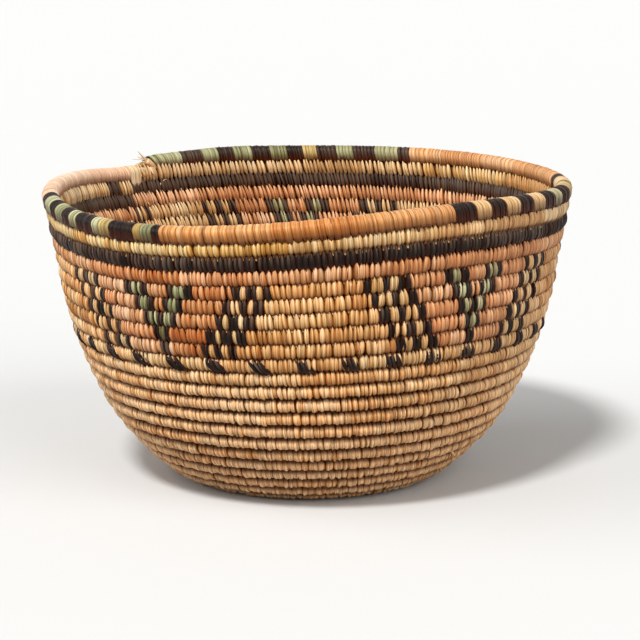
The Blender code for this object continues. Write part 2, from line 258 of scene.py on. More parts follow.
LOOSE_ENDS = (  # name, angle, turn, face, reach along, across and out, colour, slot
    ("loose_end_inside_left", 228.0, 2, -1, (-1.0 * MM, -7.0 * MM, 1.5 * MM), "salmon", "salmon_wrap"),
    ("loose_end_inside_right", 223.0, 2, -1, (-4.0 * MM, 6.0 * MM, 1.2 * MM), "cream", "straw_wrap"),
    ("loose_end_outside", 50.0, 17, 1, (3.0 * MM, -6.0 * MM, 4.0 * MM), "cream", "straw_wrap"),
)

# The knot in the floor, and the filling round it
KNOT_WRAPS = 12
KNOT_STEPS = 15
KNOT_RING = 2.5 * MM
KNOT_THICKNESS = 4.4 * MM
KNOT_FLATNESS = 1.6
KNOT_RAISED = -0.2 * MM
KNOT_ARC = 170.0  # degrees each way round the ring's section
KNOT_SLANT = 0.6 * MM
KNOT_CROWN = 0.4 * MM
KNOT_FILLING = ((6.0 * MM, 0.9 * MM), (9.0 * MM, 1.6 * MM), (9.0 * MM, 5.6 * MM), (5.0 * MM, 7.0 * MM))
KNOT_FILLING_SIDES = 16

# The rim's coloured bands, as (colour, start angle, end angle, tone), with dark wraps between them
RIM_BANDS = (
    # the start's pale tone is partly painted light, on wraps that lie in shade inside on the left
    ("rose", RIM_START_ANGLE, -77.0, -0.3),
    ("green", -73.0, -68.5, -0.42),
    ("green", -64.7, -60.5, -0.1),
    ("green", -57.3, -54.3, -0.42),
    ("green", -48.4, -46.4, -0.4),
    ("tan", -46.4, -43.2, -0.35),
    ("tan", -36.8, -34.9, -0.15),
    ("green", -34.9, -32.1, -0.2),
    ("orange", -30.3, 31.0, -0.22),
    ("cream", 37.0, 41.3, -0.15),
    ("cream", 46.1, 50.9, -0.1),
    ("cream", 56.3, 61.6, -0.1),
    ("green", 67.2, 72.0, -0.45),
    ("tan", 80.0, 88.0, -0.2),
    ("cream", 89.5, 96.0, -0.1),
    ("orange", 99.8, 153.5, 0.08),
    ("green", 156.6, 162.7, 0.2),
    ("green", 168.5, 172.9, 0.25),
    ("tan", 178.2, 181.7, 0.05),
    ("green", 186.2, 190.8, 0.3),
    ("green", 196.0, 200.7, 0.25),
    ("green", 205.3, 209.9, 0.2),
    ("green", 216.1, SPLICE_ANGLE, 0.1),
)
RIM_CUTS = (
    ("rim_start_orange", -77.0),
    ("rim_left_banded", -30.3),
    ("rim_front_orange", 31.0),
    ("rim_right_banded", 99.8),
    ("rim_back_orange", 153.5),
    ("rim_tail_banded", SPLICE_ANGLE),
)

# The first row under the rim is golden here, and cream elsewhere
GOLDEN_ANGLES = (-105.0, -4.0)
INNER_PATCH = (1.957, 1.969)  # turns of a dark patch inside it
INNER_GOLDEN_ANGLES = (60.0, 150.0)

# The pattern of the wall: five motifs, each a V between two columns of three ticks
PATTERN_FIRST_ROW = 4
MOTIFS = 5
MOTIF_AXIS = 39.0
COLUMN_AT_TOP = 22.6
COLUMN_DRAWS_IN = 2.0
TICK_SPACING = 4.1
TICK_HALF_WIDTH = 0.95
TICK_WIDTH_SPREAD = (0.75, 1.25)
CLOSE_COLUMN = (4, 1)  # one column, on the right of its V, has closer ticks
CLOSE_TICK_SPACING = 3.3
CLOSE_COLUMN_SHIFT = -1.2
TICK_SEED = 3
TICK_WIDTHS = np.random.default_rng(TICK_SEED).uniform(*TICK_WIDTH_SPREAD, (5, 2 * MOTIFS, 3))
ARMS = (  # for each row of the V, from its axis: where it is green, and dark
    ((4.2, 6.6), (2.6, 8.4)),
    ((2.6, 4.6), (1.0, 6.2)),
    ((0.8, 2.6), (0.0, 4.2)),
    ((0.0, 0.8), (0.0, 2.3)),
    ((0.0, 0.0), (0.0, 1.0)),
)

# Under it a row of slanted ticks, each of a few strands laid over the stitches
TICK_ROW = 9
SLANTED_TICKS = 36
SLANTED_TICK_START = -0.9
SLANTED_TICK_HALF_WIDTH = 1.45
TICK_STRANDS = (-3.1 * MM, 0.0, 3.1 * MM)
TICK_STRAND_WIDTH = 4.1 * MM
TICK_STRAND_SPREAD = (0.9, 1.15)
TICK_STRAND_LEAN = 8.4 * MM
TICK_HEIGHT = 0.84  # as a share of a stitch's
TICK_LEAN_SPREAD = (0.85, 1.05)
TICK_UPRIGHT_ANGLES = (-10.0, 30.0)  # between these the ticks get more upright
TICK_UPRIGHT_SHARE = 0.8
TICK_FADED_ANGLES = (-35.0, -55.0)  # and between these they turn brown and thin
TICK_FADED_TONE = 0.35
TICK_FADED_THINNER = 0.3
TICK_STRAND_LIFT = 1.0 * MM

# Colours of the splints, as (pale, usual, deep), linear: between them lie the splints' own tones and also the
# painted highlights and shade of their materials
COLOURS = {
    "straw": ((0.92, 0.66, 0.38), (0.72, 0.41, 0.150), (0.44, 0.155, 0.030)),
    "gold": ((0.88, 0.67, 0.34), (0.665, 0.370, 0.105), (0.44, 0.185, 0.028)),
    "cream": ((0.90, 0.70, 0.43), (0.76, 0.51, 0.24), (0.50, 0.245, 0.066)),
    "salmon": ((0.89, 0.58, 0.36), (0.66, 0.320, 0.128), (0.43, 0.128, 0.027)),
    "dark": ((0.120, 0.078, 0.052), (0.018, 0.011, 0.0075), (0.005, 0.003, 0.002)),
    "green": ((0.64, 0.62, 0.38), (0.36, 0.36, 0.18), (0.14, 0.14, 0.055)),
    "orange": ((0.86, 0.54, 0.29), (0.68, 0.330, 0.115), (0.48, 0.160, 0.028)),
    "rose": ((0.94, 0.66, 0.46), (0.84, 0.50, 0.31), (0.58, 0.235, 0.085)),
    "tan": ((0.72, 0.56, 0.27), (0.50, 0.36, 0.125), (0.32, 0.20, 0.055)),
    "fibre": ((0.88, 0.68, 0.42), (0.74, 0.50, 0.25), (0.48, 0.27, 0.10)),
}
WARM_TINT = (1.0, 0.82, 0.70, 1.0)
FADED = (0.80, 0.53, 0.33)
SLOTS = {
    "straw": "straw_wrap", "gold": "straw_wrap", "cream": "straw_wrap", "salmon": "salmon_wrap",
    "dark": "dark_wrap", "green": "green_wrap", "tan": "green_wrap", "orange": "orange_wrap",
    "rose": "orange_wrap", "fibre": "bundle_fibre",
}
SPLINT_IOR = 1.27
DARK_IOR = 1.22
SPLINT_ROUGHNESS = 0.38
DULL = 0.9  # roughness of the bundle and the floor
# Painted shade with some dirt in the crevices: this dark red-brown, with a share of the splint's own deep
# colour, darkens the splints' edges, heads and feet
CREVICE_SHADE_AND_DIRT = (0.14, 0.019, 0.002)
CREVICE_SHADE_AND_DIRT_SHARE = 0.5
OWN_SHARE = 0.11
RIDGE_HIGHLIGHT_TONE = -0.16  # painted highlight: a splint is paler along its ridge,
EDGE_SHADE_TONE = 0.83  # painted shade: deeper towards dark edges,
ALONG_SHADE_TONES = (-0.16, 0.42)  # and painted shade: deeper from its head to its foot, as if lit from above
ALONG_PLACES = (0.1, 0.85)
TIP_TONE = -0.45
FADED_SHARE = 0.5
PATCH_SCALE = 16.0  # blotches to the metre
PATCH_DETAIL = 2.0
PATCH_STRENGTH = 0.7
NOISE_ROUGHNESS = 0.62
STREAK_STRETCH = (3.4, 0.8, 3.7)
STREAK_DETAIL = 4.0
STREAK_PLACES = (0.32, 0.68)  # of the streaks' noise, which becomes these levels of brightness
STREAK_LEVELS = (0.58, 1.28)
STREAK_RELIEF = (0.6, 0.4 * MM)  # strength and depth
EDGE_PLACES = (0.64, 0.98)  # from a splint's middle, where the painted shade and dirt of its edges begin and are full
# how strong the painted shade and dirt are at a splint's head, under the row above, and at its foot
HEAD_SHADE_AND_DIRT = 0.9
FOOT_SHADE_AND_DIRT = 0.85
TIP_SHADE_AND_DIRT = 0.15  # the share of the foot's painted shade and dirt that is left at the tip
SPLIT_SPREAD = 1.3  # over how much of a splint's width the dark split lines lie
SPLIT_WAVER = 0.5
SPLIT_SHUFFLE = 0.731  # turns a splint's own number into its line's place
SPLIT_LINE = (0.03, 0.11)  # half width of the dark line where a splint has split, sharp and soft
SPLIT_STRENGTH = 0.55
STITCH_HEAD = (0.30, 0.10)
STITCH_FOOT = (0.56, 0.76, 0.83, 0.93)
WRAP_HEAD = (0.20, 0.04)
WRAP_FOOT = (0.68, 0.95, 1.5, 2.0)
LOOSE_HEAD = (-1.0, -2.0)
LOOSE_FOOT = (1.5, 2.0, 3.0, 4.0)
STITCH_EDGE = 0.75  # how dark the long edges are, with painted shade and dirt
WRAP_EDGE = 0.32
LOOSE_EDGE = 0.1
# the bundle's near-black browns, painted shade in the crevices
BUNDLE_SHADE_COLOURS = ((0.035, 0.012, 0.004), (0.13, 0.05, 0.015))
BUNDLE_GRAIN = 900.0
BUNDLE_SPECULAR = 0.1
USUAL_TONE = 0.5
BAKE_MARGIN = 0.06
MOST_STITCHES = 1500  # in one piece

# The studio: the floor's colour where it is seen and where it lights the basket, and the light,
# with lamps as (name, azimuth, elevation, strength, softness)
FLOOR_HALF = 40.0
FLOOR_SEEN = (0.68, 0.68, 0.67, 1.0)
FLOOR_LIGHTING = (0.36, 0.35, 0.34, 1.0)
SKY_COLOUR = (1.0, 0.99, 0.97, 1.0)
WORLD_STRENGTH = 0.26
BACKDROP_STRENGTH = 0.92  # as the camera sees it
LAMPS = (
    ("key", -24.0, 53.0, 2.8, 10.0),
    ("fill", 44.0, 30.0, 1.5, 50.0),
    ("side", -80.0, 35.0, 1.1, 50.0),
)

# The photograph's camera
CAMERA_PLACE = (0.0, -1249.0 * MM, 333.7 * MM)
CAMERA_PITCH = 10.528
CAMERA_YAW = 0.35
CAMERA_LENS = 106.26
SENSOR_WIDTH = 36.0

SEED = 7


def smooth_section(points, steps):
    """A smooth curve through the section's points: Catmull-Rom, spaced by chord length."""
    pts = np.array(points)
    chords = np.sqrt(np.linalg.norm(np.diff(pts, axis=0), axis=1))
    knots = np.concatenate(([0.0], np.cumsum(chords)))
    pts = np.vstack((2 * pts[0] - pts[1], pts, 2 * pts[-1] - pts[-2]))
    knots = np.concatenate(([2 * knots[0] - knots[1]], knots, [2 * knots[-1] - knots[-2]]))
    curve = []
    for t in np.linspace(knots[1], knots[-2], steps):
        i = min(max(int(np.searchsorted(knots, t, side="right")) - 1, 1), len(pts) - 3)
        a, b, c, d = pts[i - 1:i + 3]
        ta, tb, tc, td = knots[i - 1:i + 3]
        ab = ((tb - t) * a + (t - ta) * b) / (tb - ta)
        bc = ((tc - t) * b + (t - tb) * c) / (tc - tb)
        cd = ((td - t) * c + (t - tc) * d) / (td - tc)
        abc = ((tc - t) * ab + (t - ta) * bc) / (tc - ta)
        bcd = ((td - t) * bc + (t - tb) * cd) / (td - tb)
        curve.append(((tc - t) * abc + (t - tb) * bcd) / (tc - tb))
    return np.array(curve)


def unit(vectors):
    return vectors / np.linalg.norm(vectors, axis=-1, keepdims=True)


def smooth_step(share):
    share = np.clip(share, 0.0, 1.0)
    return share * share * (3 - 2 * share)


def share_between(value, low, high):
    """How far a value is on the way from low to high, from 0 to 1."""
    return np.clip((value - low) / (high - low), 0.0, 1.0)


def circle(count):
    """The angles of points evenly round a circle."""
    return 2 * math.pi * np.arange(count) / count


def from_nearest(angle, pitch=360.0):
    """How far an angle in degrees is from the nearest multiple of the pitch."""
    return (angle + pitch / 2) % pitch - pitch / 2


class CoilLayout:
    """Where each turn of the coil lies, for whole arrays of turns at once."""

    def __init__(self):
        curve = smooth_section(COIL_SECTION, SECTION_STEPS)
        length = np.concatenate(([0.0], np.cumsum(np.linalg.norm(np.diff(curve, axis=0), axis=1))))
        self.radius = curve[:, 0]
        self.height = curve[:, 1]
        self.length = length + COIL_SECTION[0][0]
        self.end = np.interp(RIM_END_HEIGHT, self.height, self.length)
        self.full = COIL_SECTION[2][0]
        steps = np.diff(self.length) / self.pitch(self.length[1:])
        self.turns_up = np.concatenate(([0.0], np.cumsum(steps)))
        self.total = float(np.interp(self.end, self.length, self.turns_up))

    def pitch(self, length):
        up_wall = share_between(length, self.full, self.end)
        even = PITCH_AT_FOOT + (PITCH_AT_RIM - PITCH_AT_FOOT) * up_wall
        return np.where(length < FIRST_TURN_END, PITCH_AT_KNOT, even)

    def along(self, turn):
        return np.interp(self.total - turn, self.turns_up, self.length)

    def wall_point(self, turn, angle):
        """Points of the wall's middle surface, with the mouth's waves."""
        length = self.along(turn)
        radius = np.interp(length, self.length, self.radius)
        height = np.interp(length, self.length, self.height)
        rise = np.clip((height - WAVES_START) / (WAVES_FULL - WAVES_START), 0.0, 1.1) ** WAVES_GROWTH
        for count, size, high in RADIUS_WAVES:
            radius = radius + MOUTH_RADIUS * size * rise * np.cos(count * (angle - math.radians(high)))
        for count, size, high in HEIGHT_WAVES:
            height = height + size * rise * np.cos(count * (angle - math.radians(high)))
        from_sag = from_nearest(np.degrees(angle) - SAG_ANGLE)
        height = height - SAG_DEPTH * rise * np.exp(-(from_sag / SAG_WIDTH) ** 2)
        flat = np.stack((radius * np.sin(angle), -radius * np.cos(angle), height), axis=-1)
        return flat + AXIS_PLACE

    def rings(self, turn):
        """Centre, across, out, side and spacing of the turns, at each of these turns."""
        turn = np.asarray(turn, float)
        angle = math.radians(SPLICE_ANGLE) - 2 * math.pi * turn
        centre = self.wall_point(turn, angle)
        step = self.wall_point(turn - 0.5, angle) - self.wall_point(turn + 0.5, angle)
        spacing = np.linalg.norm(step, axis=-1)
        across = unit(step)
        side = np.stack((np.cos(angle), np.sin(angle), np.zeros_like(angle)), axis=-1)
        out = unit(np.cross(side, across))
        return centre, across, out, side, spacing

    def ring(self, turn):
        """Centre, across, out and side of the coil at one turn."""
        return [vectors[0] for vectors in self.rings(np.array([turn]))[:4]]

    def degrees(self, turn):
        """The angle round the basket, from -180 to 180."""
        return from_nearest(SPLICE_ANGLE - 360.0 * np.asarray(turn))


def set_inputs(tree, node, values):
    """Sets a node's inputs to numbers and colours, or links other nodes' outputs to them."""
    for name, value in values.items():
        if isinstance(value, bpy.types.NodeSocket):
            tree.links.new(value, node.inputs[name])
        else:
            node.inputs[name].default_value = value


def node_value(tree, operation, *values):
    """A sum or the like of numbers and other nodes' outputs."""
    node = tree.nodes.new("ShaderNodeMath")
    node.operation = operation
    set_inputs(tree, node, dict(enumerate(values)))
    return node.outputs[0]


def node_vector(tree, operation, values):
    node = tree.nodes.new("ShaderNodeVectorMath")
    node.operation = operation
    set_inputs(tree, node, values)
    return node.outputs[0]


def node_ramp(tree, value, low, high, to_low=0.0, to_high=1.0):
    """A smooth step of a value from low to high."""
    node = tree.nodes.new("ShaderNodeMapRange")
    node.interpolation_type = "SMOOTHSTEP"
    set_inputs(tree, node, {"From Min": low, "From Max": high, "To Min": to_low, "To Max": to_high,
                            "Value": value})
    return node.outputs[0]


def node_noise(tree, vector, scale, detail):
    node = tree.nodes.new("ShaderNodeTexNoise")
    set_inputs(tree, node, {"Scale": scale, "Detail": detail, "Roughness": NOISE_ROUGHNESS,
                            "Vector": vector})
    return node.outputs["Fac"]


def node_mix(tree, blend, factor, one, two):
    node = tree.nodes.new("ShaderNodeMix")
    node.data_type = "RGBA"
    node.blend_type = blend
    set_inputs(tree, node, {"Factor": factor, "A": one, "B": two})
    return node.outputs["Result"]


def node_colours(tree, value, colours):
    """A ramp through evenly spaced colours."""
    node = tree.nodes.new("ShaderNodeValToRGB")
    elements = node.color_ramp.elements
    elements[0].color, elements[1].color = (*colours[0], 1.0), (*colours[-1], 1.0)
    for index, colour in enumerate(colours[1:-1], 1):
        elements.new(index / (len(colours) - 1)).color = (*colour, 1.0)
    set_inputs(tree, node, {"Fac": value})
    return node.outputs["Color"]


def node_attribute(tree, name):
    """A point attribute, and its three numbers."""
    node = tree.nodes.new("ShaderNodeAttribute")
    node.attribute_name = name
    parts = tree.nodes.new("ShaderNodeSeparateXYZ")
    set_inputs(tree, parts, {0: node.outputs["Vector"]})
    return node.outputs["Vector"], *parts.outputs


def new_material(name):
    """A material, its node tree and its shader."""
    mat = bpy.data.materials.new(name)
    mat.use_nodes = True
    return mat, mat.node_tree, mat.node_tree.nodes["Principled BSDF"]


def splint_material(name, kind, head, foot, edge):
    """A split plant stem: streaks along it, a tone of its own, a painted highlight along its ridge,
    and painted shade with some dirt in its crevices and towards its foot.

    head and foot are the shares of its length where the painted shade and dirt of its two ends
    begin and are full, and where the foot's ends again; edge is how dark its long edges are.
    """
    pale, usual, deep = COLOURS[kind]
    mat, tree, shader = new_material(name)
    splint, across, along, number = node_attribute(tree, "splint")
    _, own_tone, warmth, fade = node_attribute(tree, "shade")

    basket = tree.nodes.new("ShaderNodeTexCoord")
    patches = node_noise(tree, basket.outputs["Object"], PATCH_SCALE, PATCH_DETAIL)
    from_middle = node_value(tree, "ABSOLUTE", across)
    tone = node_value(tree, "MULTIPLY_ADD", patches, PATCH_STRENGTH, -PATCH_STRENGTH / 2)
    # the tone: random patches, the splint's own tone, a painted highlight on the ridge, painted shade towards
    # the edges and from head to foot, and a paler tip
    for change in (own_tone,
                   node_ramp(tree, from_middle, 0.0, 1.0, RIDGE_HIGHLIGHT_TONE, EDGE_SHADE_TONE * edge),
                   node_ramp(tree, along, *ALONG_PLACES, *ALONG_SHADE_TONES),
                   node_ramp(tree, along, foot[2], foot[3], 0.0, TIP_TONE)):
        tone = node_value(tree, "ADD", tone, change)
    colour = node_mix(tree, "MULTIPLY", warmth, node_colours(tree, tone, (pale, usual, deep)), WARM_TINT)
    own_share = 1.0 if kind == "dark" else FADED_SHARE
    faded = [own_share * own + (1 - own_share) * pale_one for own, pale_one in zip(usual, FADED)]
    colour = node_mix(tree, "MIX", fade, colour, (*faded, 1.0))

    stretched = node_vector(tree, "MULTIPLY", {0: splint, 1: STREAK_STRETCH})
    streaks = node_noise(tree, stretched, 1.0, STREAK_DETAIL)
    brightness = node_ramp(tree, streaks, *STREAK_PLACES, *STREAK_LEVELS)
    colour = node_vector(tree, "SCALE", {0: colour, "Scale": brightness})

    # painted shade and dirt: darker along the long edges, at the head under the row above, and at the foot
    # where it goes into the row below, less at the tip
    along_edges = node_ramp(tree, from_middle, *EDGE_PLACES, 0.0, edge)
    at_head = node_ramp(tree, along, head[1], head[0], HEAD_SHADE_AND_DIRT, 0.0)
    at_foot = node_ramp(tree, along, foot[0], foot[1], 0.0, FOOT_SHADE_AND_DIRT)
    before_tip = node_ramp(tree, along, foot[2], foot[3], 1.0, TIP_SHADE_AND_DIRT)
    at_foot = node_value(tree, "MULTIPLY", at_foot, before_tip)
    shade_and_dirt = node_value(tree, "MAXIMUM", node_value(tree, "MAXIMUM", at_head, at_foot), along_edges)

    # a thin dark line along the splint, at a place of its own
    own = node_value(tree, "FRACT", node_value(tree, "MULTIPLY", number, SPLIT_SHUFFLE))
    beside = node_value(tree, "MULTIPLY_ADD", own, SPLIT_SPREAD, -SPLIT_SPREAD / 2)
    waver = node_value(tree, "MULTIPLY_ADD", streaks, SPLIT_WAVER, -SPLIT_WAVER / 2)
    from_line = node_value(tree, "SUBTRACT", across, node_value(tree, "ADD", beside, waver))
    line = node_ramp(tree, node_value(tree, "ABSOLUTE", from_line), *SPLIT_LINE, SPLIT_STRENGTH, 0.0)
    shade_and_dirt = node_value(tree, "MAXIMUM", shade_and_dirt, line)
    # the colour of the painted shade and dirt, and of the split lines
    shade_and_grime = [CREVICE_SHADE_AND_DIRT_SHARE * soil + OWN_SHARE * own for soil, own in zip(CREVICE_SHADE_AND_DIRT, deep)]

    relief = tree.nodes.new("ShaderNodeBump")
    set_inputs(tree, relief, {"Strength": STREAK_RELIEF[0], "Distance": STREAK_RELIEF[1], "Height": streaks})
    set_inputs(tree, shader, {
        "Base Color": node_mix(tree, "MIX", shade_and_dirt, colour, (*shade_and_grime, 1.0)),
        "Normal": relief.outputs["Normal"],
        "Roughness": SPLINT_ROUGHNESS,
        "IOR": DARK_IOR if kind == "dark" else SPLINT_IOR,
    })
    return mat


def bundle_material():
    """The bundle under the wrapping, seen only in crevices, where its near-black browns are painted shade."""
    mat, tree, shader = new_material("bundle")
    basket = tree.nodes.new("ShaderNodeTexCoord")
    grain = node_noise(tree, basket.outputs["Object"], BUNDLE_GRAIN, PATCH_DETAIL)
    set_inputs(tree, shader, {"Base Color": node_colours(tree, grain, BUNDLE_SHADE_COLOURS), "Roughness": DULL,
                              "Specular IOR Level": BUNDLE_SPECULAR})
    return mat


class Splints:
    """Closed bodies that are swept along lines over the coil, all with the same count of points."""

    def __init__(self, rings, section, rng, tone, warmth, fade=0.0, start=0.0, reach=1.0):
        bodies, steps, corners, _ = rings.shape
        self.rings = rings
        self.place = np.empty(rings.shape)
        self.place[..., 0] = section
        along = np.linspace(0.0, 1.0, steps)[None, :, None]
        low, high = (np.broadcast_to(share, bodies)[:, None, None] for share in (start, reach))
        self.place[..., 1] = np.clip(along, low, high)
        self.place[..., 2] = rng.uniform(0.0, 1000.0, bodies)[:, None, None]
        self.shade = np.empty(rings.shape)
        for index, values in enumerate((tone, warmth, fade)):
            self.shade[..., index] = np.broadcast_to(values, bodies)[:, None, None]

    def mesh(self, name, chosen=slice(None)):
        """One mesh of the chosen bodies. Its bake map gives each body a cell of its own."""
        rings = self.rings[chosen]
        bodies, steps, corners, _ = rings.shape
        number = np.arange(bodies * steps * corners).reshape(bodies, steps, corners)
        after = np.roll(number, -1, axis=2)
        quads = np.stack((number[:, :-1], after[:, :-1], after[:, 1:], number[:, 1:]), axis=-1)
        quads = quads.reshape(bodies, -1, 4)
        caps = np.stack((number[:, 0, ::-1], number[:, -1, :]), axis=1)

        cells = math.ceil(math.sqrt(bodies))
        cell = np.arange(bodies)
        corner = (np.stack((cell % cells, cell // cells), axis=-1) / cells)[:, None, None]
        inside = 1 - 2 * BAKE_MARGIN
        u = BAKE_MARGIN + inside * np.arange(corners + 1) / corners
        v = BAKE_MARGIN + inside * np.arange(steps) / (steps - 1)
        grid = np.stack(np.broadcast_arrays(u[None, :], v[:, None]), axis=-1)
        quad_uv = np.stack((grid[:-1, :-1], grid[:-1, 1:], grid[1:, 1:], grid[1:, :-1]), axis=2)
        quad_uv = corner + quad_uv.reshape(1, -1, 4, 2) / cells
        cap_uv = corner + np.stack((grid[0, :-1][::-1], grid[-1, :-1]))[None] / cells

        quad_count = quads.shape[0] * quads.shape[1]
        starts = np.concatenate((4 * np.arange(quad_count), 4 * quad_count + corners * np.arange(2 * bodies)))
        loops = np.concatenate((quads.ravel(), caps.ravel()))
        uv = np.concatenate((quad_uv.reshape(-1, 2), cap_uv.reshape(-1, 2)))

        mesh = bpy.data.meshes.new(name)
        mesh.vertices.add(number.size)
        mesh.vertices.foreach_set("co", rings.astype(np.float32).ravel())
        mesh.loops.add(len(loops))
        mesh.loops.foreach_set("vertex_index", loops.astype(np.int32))
        mesh.polygons.add(len(starts))
        mesh.polygons.foreach_set("loop_start", starts.astype(np.int32))
        mesh.update(calc_edges=True)
        bake_map = mesh.uv_layers.new(name="OFBake")
        bake_map.uv.foreach_set("vector", uv.astype(np.float32).ravel())
        for attribute, values in (("splint", self.place), ("shade", self.shade)):
            made = mesh.attributes.new(attribute, "FLOAT_VECTOR", "POINT")
            made.data.foreach_set("vector", values[chosen].astype(np.float32).ravel())
        mesh.shade_smooth()
        return mesh


def add_object(name, data):
    thing = bpy.data.objects.new(name, data)
    bpy.context.scene.collection.objects.link(thing)
    return thing


def add_piece(name, splints, mat, slot, *nodes, chosen=slice(None)):
    """One piece of the chosen splints, in place of these nodes' solids."""
    mesh = splints.mesh(name, chosen)
    mesh.materials.append(mat)
    piece = add_object(name, mesh)
    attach(piece, BODY)
    if nodes:
        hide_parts(*nodes)


def sweep(line, frames, rng, tone, warmth, fade=0.0, tilt=0.0, start=0.0, reach=1.0):
    """Splints along lines over the coil.

    line gives, for each splint and step, (across, out, along, half width, crown) in metres,
    and frames the centre, across, out and side of the coil at each splint. With a tilt, each
    splint's first edge lies over the one before it. A late start leaves out the painted shade
    and dirt of its head, and with a short reach its foot looks the same to its end.
    """
    count, steps, _ = line.shape
    centre, across, out, side = (vectors[:, None, None, :] for vectors in frames)
    path = line[:, :, :2]
    slope = unit(np.gradient(path, axis=1))
    normal = np.stack((slope[..., 1], -slope[..., 0]), axis=-1)
    place, rise = np.array(STITCH_SECTION).T
    ridge = rng.uniform(-RIDGE_SHIFT, RIDGE_SHIFT, (count, 1))
    beside = place + ridge * (1 - place ** 2)
    relief = np.tile(rise * (1 - tilt * place), (count, 1))
    inner = np.arange(1, len(rise) - 1)
    relief[:, inner] += rng.normal(0.0, FOLD_SPREAD, (count, len(inner)))
    grooved = np.flatnonzero(rng.uniform(size=count) < GROOVED_SHARE)
    relief[grooved, rng.choice(inner, len(grooved))] -= rng.uniform(*GROOVE_DEPTH, len(grooved))
    height = relief[:, None, :] * line[:, :, 4, None]
    lateral = beside[:, None, :] * line[:, :, 3, None] + line[:, :, 2, None]
    height = np.concatenate((height, np.full((count, steps, 1), -UNDERSIDE)), axis=2)
    lateral = np.concatenate((lateral, line[:, :, 2, None]), axis=2)
    up = path[:, :, None, 0] + normal[:, :, None, 0] * height
    outward = path[:, :, None, 1] + normal[:, :, None, 1] * height
    rings = centre + up[..., None] * across + outward[..., None] * out + lateral[..., None] * side
    return Splints(rings, np.append(place, 0.0), rng, tone, warmth, fade, start, reach)


def side_fading(degrees):
    """The basket has faded on its right side."""
    return FADING * np.clip(np.sin(np.radians(degrees)), 0.0, 1.0)


def splint_tones(count, rng):
    """Tone and warmth of each stitch: a splint's own, which runs for a few stitches."""
    tone = np.empty(count)
    warmth = np.empty(count)
    at = 0
    while at < count:
        run = int(rng.integers(*SPLINT_RUN))
        tone[at:at + run] = rng.normal(SPLINT_TONE, SPLINT_TONE_SPREAD)
        warmth[at:at + run] = rng.uniform() ** 3
        at += run
    return tone + rng.normal(0.0, STITCH_TONE_SPREAD, count), warmth


def coil_runs(knot_turn):
    """The coil's runs below the rim, each as its CAD node and the turns where it starts and ends."""
    first = RIM_TURNS
    for node, turn in RUNS:
        last = knot_turn if turn is None else turn - COURSE_LEAD
        yield node, first, last
        first = last


def colour_runs(layout):
    """The coil from the knot up as stretches of one colour: (its lower turn, upper turn, colour)."""
    grid = np.append(np.arange(layout.total, RIM_TURNS, -COLOUR_STEP), RIM_TURNS)
    kinds = [stitch_kind(place, angle) for place, angle in zip(grid, layout.degrees(grid))]
    runs = []
    start = 0
    for index in range(1, len(grid)):
        if kinds[index] != kinds[start] or index == len(grid) - 1:
            runs.append((grid[start], grid[index], kinds[start]))
            start = index
    return runs


def stitch_spacing(turn, angle):
    """The usual distance between stitches at a place on the coil."""
    swell = 1 + sum(size * math.sin(2 * math.pi * rate * turn) for rate, size in SPACING_SWELLS)
    if turn + COURSE_LEAD >= 2:
        return STITCH_SPACING * swell
    close = CLOSE_SHARE if GOLDEN_ANGLES[0] < angle < CLOSE_ANGLE else 1.0
    return FIRST_ROW_SPACING * swell * close


def lay_run(places, low, high, layout, radius, rng):
    """Adds the stitches between two turns. A long run's stitches sit over the gaps of the turn below."""
    around = 2 * math.pi * max(radius((low + high) / 2), STITCH_SPACING)
    if (low - high) * around < SHORT_RUN * SHORT_RUN_SPACING:
        count = max(1, round((low - high) * around / SHORT_RUN_SPACING))
        jitter = rng.uniform(-SHORT_RUN_JITTER, SHORT_RUN_JITTER, count)
        places.extend(low - (low - high) * (np.arange(count) + 0.5 + jitter) / count)
        return
    first = len(places)
    edge = low
    lean = OUTER_LEAN / around
    while True:
        step = stitch_spacing(edge, layout.degrees(edge)) / (2 * math.pi * max(radius(edge), STITCH_SPACING))
        change = 1.0 + float(rng.normal(0.0, SPACING_SPREAD))
        step *= min(max(change, SPACING_LIMITS[0]), SPACING_LIMITS[1])
        place = edge - step / 2
        below = place + 1.0
        if places and below < places[0]:
            at = bisect.bisect_left(places, -below, key=lambda other: -other)
            near = range(max(at - 2, 0), min(at + 1, len(places) - 1))
            middles = [(places[i] + places[i + 1]) / 2 for i in near]
            gap = min(middles, key=lambda middle: abs(middle - below)) - 1.0 + lean
            place += GAP_PULL * min(max(gap - place, -GAP_REACH * step), GAP_REACH * step)
        if place - step / 2 < high:
            break
        places.append(place)
        edge = place - step / 2
    stretch = (low - high) / (low - edge)
    places[first:] = [low - (low - place) * stretch for place in places[first:]]


def lay_stitches(layout, rng):
    """Turns at which the stitches sit, from the knot up, their colours, and how far each tip is drawn."""
    grid = np.arange(layout.total, RIM_TURNS, -RADIUS_STEP)
    centre = layout.rings(grid)[0]
    distance = np.hypot(centre[:, 0] - AXIS_PLACE[0], centre[:, 1] - AXIS_PLACE[1])

    def radius(turn):
        return float(np.interp(-turn, -grid, distance))

    places = []
    kinds = []
    for low, high, kind in colour_runs(layout):
        lay_run(places, low, high, layout, radius, rng)
        kinds += [kind] * (len(places) - len(kinds))
    places = np.array(places)

    # each tip goes into the nearest gap between two stitches of the turn below
    gaps = ((places[:-1] + places[1:]) / 2)[::-1]
    after = np.clip(np.searchsorted(gaps, places + 1.0), 1, len(gaps) - 1)
    lower, upper = gaps[after - 1], gaps[after]
    target = places + 1.0
    nearest = np.where(target - lower < upper - target, lower, upper)
    around = 2 * math.pi * np.interp(-places, -grid, distance)
    tips = np.where(target < places[0], (target - nearest) * around, OUTER_LEAN)
    return places, np.array(kinds), tips


